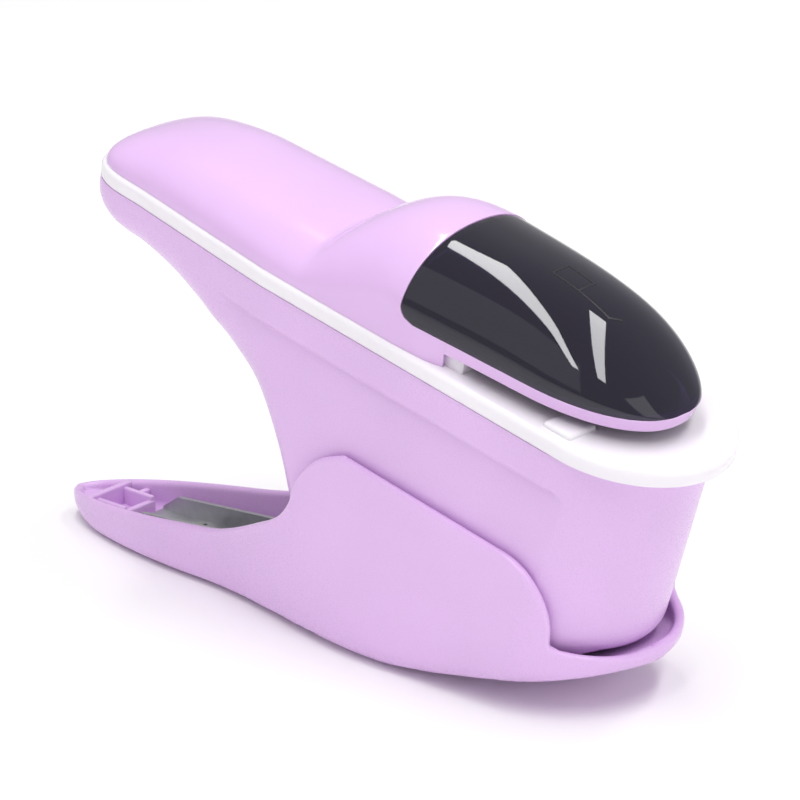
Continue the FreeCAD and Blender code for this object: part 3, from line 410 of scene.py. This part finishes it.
def crown_at(along):
    """Height of the handle's crown from its tail to the collar."""
    if along < CROWN_START:
        return GRIP_HIGH * max(1 - min((CROWN_START - along) / CROWN_RUN, 1.0) ** 1.6, 0.03) ** 0.6
    rise = min(max((along - COLLAR_START) / (WINDOW_REAR - COLLAR_START), 0.0), 1.0)
    return GRIP_HIGH + (COLLAR_HIGH - GRIP_HIGH) * (1 - (1 - rise) ** 2.6)


def head_half_at(along, inset=0.0):
    """Half-width of the head's rim, closing as a superellipse at the nose."""
    flank = HEAD_HALF - HEAD_TAPER * (along - WINDOW_REAR) - inset
    part = min(max((along - HEAD_NOSE + inset + HEAD_BEND) / HEAD_BEND, 0.0), 1.0)
    return flank * (1 - part ** GRIP_POWER) ** (1 / GRIP_POWER)


def head_rise_at(along, inset=0.0):
    """Height of the head's crown over its rim, falling to nothing at the nose."""
    part = max((along - WINDOW_REAR) / (HEAD_NOSE - inset - WINDOW_REAR), 0.0)
    return (WINDOW_RISE - inset) * (1 - min(part, 1.0) ** 3.8)


def head_spot(along, turn, inset=0.0):
    """The head's dome over its rim: turn runs from the rim to the crown."""
    return Vector((along, head_half_at(along, inset) * math.cos(turn) ** (2 / HEAD_POWER),
                   RIM_HIGH + head_rise_at(along, inset) * math.sin(turn) ** (2 / HEAD_POWER)))


def collar_edge(turn):
    """Where the window's rear edge lies, with its lower corners rounded."""
    short = max(CORNER_ROUND - CORNER_CLIMB * turn, 0.0)
    return WINDOW_REAR + CORNER_ROUND - math.sqrt(CORNER_ROUND ** 2 - short ** 2)


def grip_spot(share, row):
    """Rows 0 to 1 run up the flank to the foot of the crown, 1 to 2 over the crown."""
    along, half = plan(share, TABLE_HALF, TABLE_NOSE, COVER_INSET)
    if share > GRIP_SHARE:
        along = WINDOW_REAR
    high = crown_at(along)
    foot = min(RIM_HIGH, 0.4 * high)
    blend = ease(along, 62, WINDOW_REAR)
    if row < 1:
        level = foot * row
        arch = Vector((along, half * (1 - (level / high) ** GRIP_POWER) ** (1 / GRIP_POWER), level))
        straight = Vector((along, mix(half, HEAD_HALF, blend), level))
        return arch.lerp(straight, blend)
    turn = math.pi / 2 * (row - 1)
    arch_turn = mix(math.asin((foot / high) ** (GRIP_POWER / 2)), math.pi / 2, row - 1)
    arch = Vector((along, half * math.cos(arch_turn) ** (2 / GRIP_POWER),
                   high * math.sin(arch_turn) ** (2 / GRIP_POWER)))
    straight = Vector((along, mix(half, HEAD_HALF, blend) * math.cos(turn) ** (2 / HEAD_POWER),
                       foot + (high - foot) * math.sin(turn) ** (2 / HEAD_POWER)))
    return arch.lerp(straight, blend)


def corner_spot(step, row):
    """The collar's front, out to the window's rear edge."""
    turn = math.pi / 2 * (row - 1)
    return head_spot(mix(WINDOW_REAR, collar_edge(turn), step), turn)


def lip_spot(along, row):
    """The lip round the head: its rows rise from the lower edge to the rim."""
    bottom = 0.0 if along <= CHEEK_END else SLOT_GAP
    up = mix(bottom, RIM_HIGH, row)
    tuck = LIP_TUCK * max(1 - (up - SLOT_GAP) / (RIM_HIGH - SLOT_GAP), 0) * ease(along, 84, 90)
    along = min(along, HEAD_NOSE - tuck)
    return Vector((along, max(head_half_at(along, tuck), 0.0), up))


GRIP_SHARE = (TAIL_TURN + (NOSE_TURN - TAIL_TURN) * (WINDOW_REAR - TAIL_END)
              / (TABLE_NOSE - TABLE_HALF - TAIL_END))
rim_steps = spread(0, 1, 8)
corner_turns = spread(1, 1.13, 8)
crown_turns = corner_turns + spread(1.13, 2, 26) + [2]
cover = bmesh.new()
grip_shares = spread(0, TAIL_TURN, 34) + spread(TAIL_TURN, GRIP_SHARE, 70) + [GRIP_SHARE]
skin(cover, grip_shares, rim_steps + crown_turns, grip_spot)
skin(cover, [0, 0.5, 1], corner_turns + [1.13], corner_spot)
skin(cover, [WINDOW_REAR, 79.5] + spread(81.0, CHEEK_END, 4) + [CHEEK_END], rim_steps + [1], lip_spot)
nose_places = [HEAD_NOSE - HEAD_BEND + HEAD_BEND * math.sin(math.radians(a)) for a in range(0, 91, 3)]
front_places = [CHEEK_END + 0.01] + spread(CHEEK_END + 0.8, HEAD_NOSE - HEAD_BEND, 14) + nose_places
skin(cover, front_places, rim_steps + [1], lip_spot)
both_sides(cover)
polished_lilac = moulded_abs("polished_lilac_abs", LILAC, 0.13)
cover_piece = make_piece("cover_moulding", cover, IN_BODY, polished_lilac, "housing", "handle_cover")
wall(cover_piece, COVER_WALL, COVER_EDGE)

# ---------------------------------------------------------------- window
# The dome over the mechanism, smoked polycarbonate, polished and flush with the collar. It takes
# its dark violet from the dye in the sheet, so it reads nearly black with clean reflections.
WINDOW_GAP, WINDOW_SINK, WINDOW_WALL, WINDOW_EDGE = 0.12, 0.06, 1.4, 0.2
WINDOW_BEND, DOME_TURNS = 0.55, 44


def window_spot(share, turn):
    """A point of the dome: share runs from the rear edge to the nose, turn from rim to crown."""
    rear = collar_edge(turn) + WINDOW_GAP
    return head_spot(mix(rear, HEAD_NOSE - WINDOW_GAP, share), turn, WINDOW_SINK)


dome_steps = spread(0, WINDOW_BEND, 22)
dome_steps += [1 - (1 - WINDOW_BEND) * (1 - math.sin(math.radians(a))) for a in range(0, 91, 3)]
window = bmesh.new()
skin(window, dome_steps, [math.pi / 2 * i / DOME_TURNS for i in range(DOME_TURNS + 1)], window_spot)
both_sides(window)

POLYCARBONATE_IOR = 1.58
smoked, tree, shader, place = new_material("smoked_polycarbonate")
shader.inputs["Base Color"].default_value = colour("#2E2546")
shader.inputs["Roughness"].default_value = 0.03
shader.inputs["IOR"].default_value = POLYCARBONATE_IOR
shader.inputs["Transmission Weight"].default_value = 0.75
flow = add(tree, "ShaderNodeTexNoise", {"Scale": 1 / 0.012, "Detail": 3.0}, {"Vector": place})
ripple = add(tree, "ShaderNodeBump", {"Strength": 0.02, "Distance": 0.0002}, {"Height": flow.outputs["Fac"]})
tree.links.new(ripple.outputs["Normal"], shader.inputs["Normal"])
window_piece = make_piece("window_dome", window, IN_BODY, smoked, "housing", "head_window")
wall(window_piece, WINDOW_WALL, WINDOW_EDGE)

# ---------------------------------------------------------------- lever
# The squeeze lever: a boat-shaped tray in lilac ABS whose two wings hug the body and turn on its
# pivot. Its rim is rounded, and ribs in its tail hold the end of the steel channel.
LEVER_HALF, LEVER_NARROW, TOE_X = 18.0, 10.8, 60.9
LEVER_WALL, LEVER_FLOOR, LEVER_RIM = 1.7, 2.2, 0.8
TAIL_BEND_X, TAIL_REACH = -12.0, 37.6
WING_HIGH, WING_ROUND, LIP_HIGH = -23.8, 10.6, -36.05
SOLE_FRONT, SOLE_REAR, SOLE_HIGH = 36, -38, 0.01
TILT, TILT_HEIGHT = UP.x / UP.z, 10
OUTER_POWER, INNER_POWER, INNER_SHRINK = 4.0, 5.0, 0.8
SIDE_STEPS, BILGE_STEPS, HULL_ROWS = 12, 24, 26


def standing_spot(along, up):
    """A point of the body's mid-plane as X and Z where the tool stands, in millimetres."""
    spot = IN_BODY @ Vector((along, 0, up)) * 1000
    return spot.x, spot.z


def lever_half_at(x, up, inset):
    """Half-width of the hull: a pointed tail, a flare that leads at the wings' tops, a round toe."""
    wide, narrow = LEVER_HALF - inset, LEVER_NARROW - inset
    if x > TOE_X:
        return math.sqrt(max(wide ** 2 - (x - TOE_X) ** 2, 0.0))
    half = mix(narrow, wide, ease(x + 0.68 * (up - 1), -12, 34))
    back = min(max(TAIL_BEND_X - x, 0.0) / (TAIL_REACH - inset), 1.0)
    return half * (1 - back ** 1.8) ** 0.554


def keel_at(x):
    """Height of the keel: a flat sole that turns up a little at the tail and more at the toe."""
    if x < SOLE_REAR:
        return SOLE_HIGH + 3.0 * ((SOLE_REAR - x) / 11.6) ** 2
    return SOLE_HIGH + 8.2 * (max(x - SOLE_FRONT, 0.0) / 42.4) ** 1.35


def bilge_at(x):
    """How high the rounding between the sole and the side reaches."""
    return mix(2.9, 3.6, ease(x, -12, 30)) - 1.2 * max(x - TOE_X, 0.0) / LEVER_HALF


def tilt_at(x):
    """Forward lean of the toe and the wings' fronts, which follow the leaning body."""
    return TILT * min(max((x - SOLE_FRONT) / (TOE_X - SOLE_FRONT), 0.0), 1.0)


def station_of(x, up):
    """The station whose leaning section passes through a point of the side view."""
    station = x
    for _ in range(30):
        station = x - tilt_at(station) * (up - TILT_HEIGHT)
    return station


def section_spot(x, rim_high, share, inset, lift, power, shrink):
    """The point at a share of the way round a section, from its rim to the keel."""
    base, bilge = keel_at(x) + lift, bilge_at(x) - shrink
    straight = rim_high > base + bilge
    line, start = [], 0.0
    if straight:
        line = [(lever_half_at(x, up, inset), up) for up in spread(rim_high, base + bilge, SIDE_STEPS)]
    else:
        start = math.asin(min(max(1 - (rim_high - base) / bilge, 0.0), 1.0) ** (power / 2))
    for i in range(BILGE_STEPS + 1):
        turn = mix(start, math.pi / 2, i / BILGE_STEPS)
        up = base + bilge * (1 - math.sin(turn) ** (2 / power))
        line.append((lever_half_at(x, up, inset) * math.cos(turn) ** (2 / power), up))
    steps = [math.dist(a, b) for a, b in zip(line, line[1:])]
    goal = share * sum(steps)
    for (a, b), step in zip(zip(line, line[1:]), steps):
        if goal <= step and step > 0:
            return mix(a[0], b[0], goal / step), mix(a[1], b[1], goal / step)
        goal -= step
    return line[-1]


# The rim, from the tail's tip along the tray, up and over the wings, down their fronts and round
# the toe, as X and Z in millimetres on the surface the tool stands on.
tray_rim = through([(-60, 2.6), (-40, 5.6), (-20, 8.3), (-8, 10.2), (-1, 12.6), (7, 16.4), (13, 19.6),
                    (16.4, 23.2), (18.4, 28.0), (22.4, 32.2), standing_spot(73.3, WING_HIGH)], 10)
rim = []
for degrees in range(90, 0, -3):
    x = TAIL_BEND_X - TAIL_REACH * math.sin(math.radians(degrees))
    rim.append((x, height_on(tray_rim, x)))
rim += [spot for spot in tray_rim if TAIL_BEND_X < spot[0]]
rim += [standing_spot(along, WING_HIGH) for along in spread(74.5, PIVOT_ALONG, 22)]
for degrees in range(0, 88, 5):
    turn = math.radians(degrees)
    rim.append(standing_spot(PIVOT_ALONG + WING_ROUND * math.sin(turn),
                             WING_ROUND * math.cos(turn) - PIVOT_DEPTH))
rim += [standing_spot(*spot) for spot in through([(117.9, -33.9), (118.4, -35.3), (120.1, -36.0)], 4)]
lip_start = station_of(*standing_spot(120.8, -36.0))
for turn in spread(math.asin((lip_start - TOE_X) / LEVER_HALF), math.pi / 2, 24) + [math.pi / 2]:
    station = TOE_X + LEVER_HALF * math.sin(turn)
    along = PIVOT_ALONG + (station - station_of(*standing_spot(PIVOT_ALONG, -36.1))) * UP.z
    rim.append(standing_spot(along, LIP_HIGH))

# Each column of the hull starts at a place on the rim and ends on the keel, where the places are
# evened out, so that the sheet doesn't crowd under the wings' steep ends.
rim_stations = [station_of(*spot) for spot in rim]
rim_stations[0], rim_stations[-1] = TAIL_BEND_X - TAIL_REACH, TOE_X + LEVER_HALF
keel_stations = list(rim_stations)
for _ in range(60):
    keel_stations[1:-1] = [(a + 2 * b + c) / 4 for a, b, c in
                           zip(keel_stations, keel_stations[1:], keel_stations[2:])]


def pulled_in(x, inset):
    """A station moved in from the tail's and the toe's ends with the wall."""
    if x < TAIL_BEND_X:
        return TAIL_BEND_X - (TAIL_BEND_X - x) * (TAIL_REACH - inset) / TAIL_REACH
    if x > TOE_X:
        return TOE_X + (x - TOE_X) * (LEVER_HALF - inset) / LEVER_HALF
    return x


def hull_spot(column, share, inset, lift, power, shrink):
    """A point of a skin of the hull, on one column at a share of the way from rim to keel."""
    x = pulled_in(mix(rim_stations[column], keel_stations[column], share), inset)
    across, up = section_spot(x, rim[column][1], share, inset, lift, power, shrink)
    return Vector((x + tilt_at(x) * (up - TILT_HEIGHT), max(across, 0.0), up))


def outer_spot(column, share):
    return hull_spot(column, share, 0.0, 0.0, OUTER_POWER, 0.0)


def inner_spot(column, share):
    return hull_spot(column, share, LEVER_WALL, LEVER_FLOOR, INNER_POWER, INNER_SHRINK)


def rim_spot(column, share):
    """The full-round edge between the outer and the inner skin."""
    before, after = rim[max(column - 1, 0)], rim[min(column + 1, len(rim) - 1)]
    run = Vector((after[0] - before[0], 0, after[1] - before[1])).normalized()
    crown = Vector((-run.z, 0, run.x)) * LEVER_RIM * math.sin(math.pi * share)
    return outer_spot(column, 0).lerp(inner_spot(column, 0), (1 - math.cos(math.pi * share)) / 2) + crown


hull_columns = list(range(len(rim)))
hull_shares = [i / HULL_ROWS for i in range(HULL_ROWS + 1)]
lever = bmesh.new()
skin(lever, hull_columns, hull_shares, outer_spot)
skin(lever, hull_columns, hull_shares, inner_spot)
skin(lever, hull_columns, spread(0, 1, 8) + [1], rim_spot)
both_sides(lever)
RIB_ROUND = 0.35
for low, high in (((-42.4, -5.6, 1.4), (-41.2, 5.6, 6.0)), ((-41.4, -3.9, 1.4), (-34.6, -2.9, 5.4)),
                  ((-41.4, 2.9, 1.4), (-34.6, 3.9, 5.4)), ((-35.6, -3.9, 1.4), (-34.4, 3.9, 4.6)),
                  ((-38.8, 3.6, 2.0), (-37.6, 7.2, 5.2))):
    bar(lever, low, high, RIB_ROUND)
make_piece("lever_moulding", lever, AS_IT_STANDS, satin_lilac, "lever", "lever_shell")

# ---------------------------------------------------------------- catch mark on the window
# The outline of a small catch pressed into the dome's crown, and the witness line that runs
# forward from it. The grooves are not cut: thin strips laid just proud of the dome carry painted
# shade, a mottled near-black, for the shadow inside them, in a shader with the polycarbonate's IOR.
GROOVE_WIDE, GROOVE_PROUD, GROOVE_STEPS = 0.36, 0.03, 12
CATCH_REAR, CATCH_FRONT, CATCH_NEAR, CATCH_FAR = 95.2, 100.6, -2.4, 1.6
LINE_BEND, LINE_END = (107.3, -2.5), (108.5, -0.8)


def dome_at(along, across):
    """A point just proud of the dome, at a place along and across it."""
    share = min(abs(across) / head_half_at(along, WINDOW_SINK), 1.0)
    rise = head_rise_at(along, WINDOW_SINK) * (1 - share ** HEAD_POWER) ** (1 / HEAD_POWER)
    return Vector((along, across, RIM_HIGH + rise + GROOVE_PROUD))


groove = bmesh.new()
for ends in (((CATCH_REAR, CATCH_FAR), (CATCH_FRONT, CATCH_FAR)),
             ((CATCH_REAR, CATCH_NEAR), (CATCH_FRONT, CATCH_NEAR)),
             ((CATCH_REAR, CATCH_NEAR), (CATCH_REAR, CATCH_FAR)),
             ((CATCH_FRONT, CATCH_NEAR), (CATCH_FRONT, CATCH_FAR)),
             ((CATCH_FRONT, CATCH_NEAR), LINE_BEND), (LINE_BEND, LINE_END)):
    start, end = Vector(ends[0]), Vector(ends[1])
    side = (end - start).normalized().orthogonal() * GROOVE_WIDE / 2
    reach = (end - start).normalized() * GROOVE_WIDE / 2

    def groove_spot(share, edge):
        spot = (start - reach).lerp(end + reach, share) + side * edge
        return dome_at(spot.x, spot.y)

    skin(groove, spread(0, 1, GROOVE_STEPS) + [1], [-1, 0, 1], groove_spot)
for face in groove.faces:
    face.normal_update()
    if face.normal.z < 0:
        face.normal_flip()
groove_shade, tree, shader, place = new_material("painted_groove_shade")
groove_shade_mottle = add(tree, "ShaderNodeTexNoise", {"Scale": 1 / 0.0006, "Detail": 2.0}, {"Vector": place})
ramp = add(tree, "ShaderNodeValToRGB", links={"Fac": groove_shade_mottle.outputs["Fac"]})
# Painted shade: two near-black tones, mottled by the noise, stand in for the shadow inside the grooves.
ramp.color_ramp.elements[0].color = colour("#0C0A12")
ramp.color_ramp.elements[1].color = colour("#1E1A26")
tree.links.new(ramp.outputs["Color"], shader.inputs["Base Color"])
shader.inputs["Roughness"].default_value = 0.35
shader.inputs["IOR"].default_value = POLYCARBONATE_IOR
bmesh.ops.transform(groove, matrix=IN_BODY, verts=groove.verts)
groove_data = bpy.data.meshes.new("window_catch_line")
groove.to_mesh(groove_data)
groove.free()
groove_data.materials.append(groove_shade)
groove_piece = bpy.data.objects.new("window_catch_line", groove_data)
scene.collection.objects.link(groove_piece)
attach(groove_piece, "housing")

# ---------------------------------------------------------------- paper stop
# A white cross-bar behind the slot that the sheets are pushed up to, moulded in the table's own
# glossy ABS.
frame["nodes"]["paper_stop"].material_slots[0].material = white_abs

# ---------------------------------------------------------------- side frames and lever channel
# Pressed sheet steel, zinc plated and passivated: a pale grey satin with a fine mottled spangle.
# The frames and spacers make one cage round the punch; the channel is screwed down in the lever.
zinc, tree, shader, place = new_material("zinc_plated_steel")
spangle = add(tree, "ShaderNodeTexNoise", {"Scale": 1 / 0.0015, "Detail": 4.0}, {"Vector": place})
ramp = add(tree, "ShaderNodeValToRGB", links={"Fac": spangle.outputs["Fac"]})
ramp.color_ramp.elements[0].color = colour("#B9BABD")
ramp.color_ramp.elements[1].color = colour("#D2D3D6")
tree.links.new(ramp.outputs["Color"], shader.inputs["Base Color"])
shader.inputs["Metallic"].default_value = 1.0
rough = add(tree, "ShaderNodeMapRange", {"To Min": 0.34, "To Max": 0.5}, {"Value": spangle.outputs["Fac"]})
tree.links.new(rough.outputs["Result"], shader.inputs["Roughness"])
for name in ("lever_channel", "frame_left", "frame_right", "frame_spacers"):
    frame["nodes"][name].material_slots[0].material = zinc

# ---------------------------------------------------------------- pins, rods, punch and screws
# Turned and ground steel, left bright, pressed or screwed in. Fine tool lines about 0.3 mm apart,
# which is coarser than real ones so that they show, make its gloss uneven.
bright, tree, shader, place = new_material("bright_turned_steel")
lines = add(tree, "ShaderNodeTexWave", {"Scale": 1 / 0.0003, "Distortion": 1.5, "Detail": 2.0},
            {"Vector": place}, bands_direction="Y")
rough = add(tree, "ShaderNodeMapRange", {"To Min": 0.16, "To Max": 0.34}, {"Value": lines.outputs["Fac"]})
tree.links.new(rough.outputs["Result"], shader.inputs["Roughness"])
bump = add(tree, "ShaderNodeBump", {"Strength": 0.12, "Distance": 0.00002}, {"Height": lines.outputs["Fac"]})
tree.links.new(bump.outputs["Normal"], shader.inputs["Normal"])
shader.inputs["Base Color"].default_value = colour("#C9CACC")
shader.inputs["Metallic"].default_value = 1.0
for name in ("lever_pivot_pin", "tuck_pin", "guide_rods", "drive_pin", "blade_pin", "punch_carriage",
             "cover_screws", "table_screws", "channel_screws"):
    frame["nodes"][name].material_slots[0].material = bright

# ---------------------------------------------------------------- blades
# Two flat blades of hardened steel, pinned in the carriage. They are surface ground along their
# length, so they are darker than the pins and streaked upright.
ground, tree, shader, place = new_material("ground_blade_steel")
stretch = add(tree, "ShaderNodeMapping", {"Scale": (1.0, 1.0, 0.08)}, {"Vector": place})
streaks = add(tree, "ShaderNodeTexNoise", {"Scale": 1 / 0.0002, "Detail": 2.0},
              {"Vector": stretch.outputs["Vector"]})
rough = add(tree, "ShaderNodeMapRange", {"To Min": 0.2, "To Max": 0.42}, {"Value": streaks.outputs["Fac"]})
tree.links.new(rough.outputs["Result"], shader.inputs["Roughness"])
bump = add(tree, "ShaderNodeBump", {"Strength": 0.1, "Distance": 0.00001}, {"Height": streaks.outputs["Fac"]})
tree.links.new(bump.outputs["Normal"], shader.inputs["Normal"])
shader.inputs["Base Color"].default_value = colour("#A9ABB0")
shader.inputs["Metallic"].default_value = 1.0
for name in ("flap_blade", "slit_blade"):
    frame["nodes"][name].material_slots[0].material = ground

# ---------------------------------------------------------------- springs
# Coils of hard-drawn spring wire that return the punch, the lever and the tuck arm. The wire is
# dull grey, with faint drawing marks that vary its gloss.
wire, tree, shader, place = new_material("drawn_spring_wire")
marks = add(tree, "ShaderNodeTexNoise", {"Scale": 1 / 0.0004, "Detail": 3.0}, {"Vector": place})
rough = add(tree, "ShaderNodeMapRange", {"To Min": 0.25, "To Max": 0.45}, {"Value": marks.outputs["Fac"]})
tree.links.new(rough.outputs["Result"], shader.inputs["Roughness"])
shader.inputs["Base Color"].default_value = colour("#8E8F94")
shader.inputs["Metallic"].default_value = 1.0
for name in ("punch_springs", "lever_spring", "tuck_spring"):
    frame["nodes"][name].material_slots[0].material = wire

# ---------------------------------------------------------------- acetal inserts
# The anvil over the slot, the tuck arm and the rod bracket, moulded in black acetal, which is
# waxy and slightly mottled rather than glossy.
ACETAL_IOR = 1.48
acetal, tree, shader, place = new_material("black_acetal")
wax = add(tree, "ShaderNodeTexNoise", {"Scale": 1 / 0.0008, "Detail": 3.0}, {"Vector": place})
ramp = add(tree, "ShaderNodeValToRGB", links={"Fac": wax.outputs["Fac"]})
ramp.color_ramp.elements[0].color = colour("#17171A")
ramp.color_ramp.elements[1].color = colour("#232327")
tree.links.new(ramp.outputs["Color"], shader.inputs["Base Color"])
rough = add(tree, "ShaderNodeMapRange", {"To Min": 0.34, "To Max": 0.48}, {"Value": wax.outputs["Fac"]})
tree.links.new(rough.outputs["Result"], shader.inputs["Roughness"])
shader.inputs["IOR"].default_value = ACETAL_IOR
for name in ("anvil_plate", "guide_bracket", "tuck_arm"):
    frame["nodes"][name].material_slots[0].material = acetal
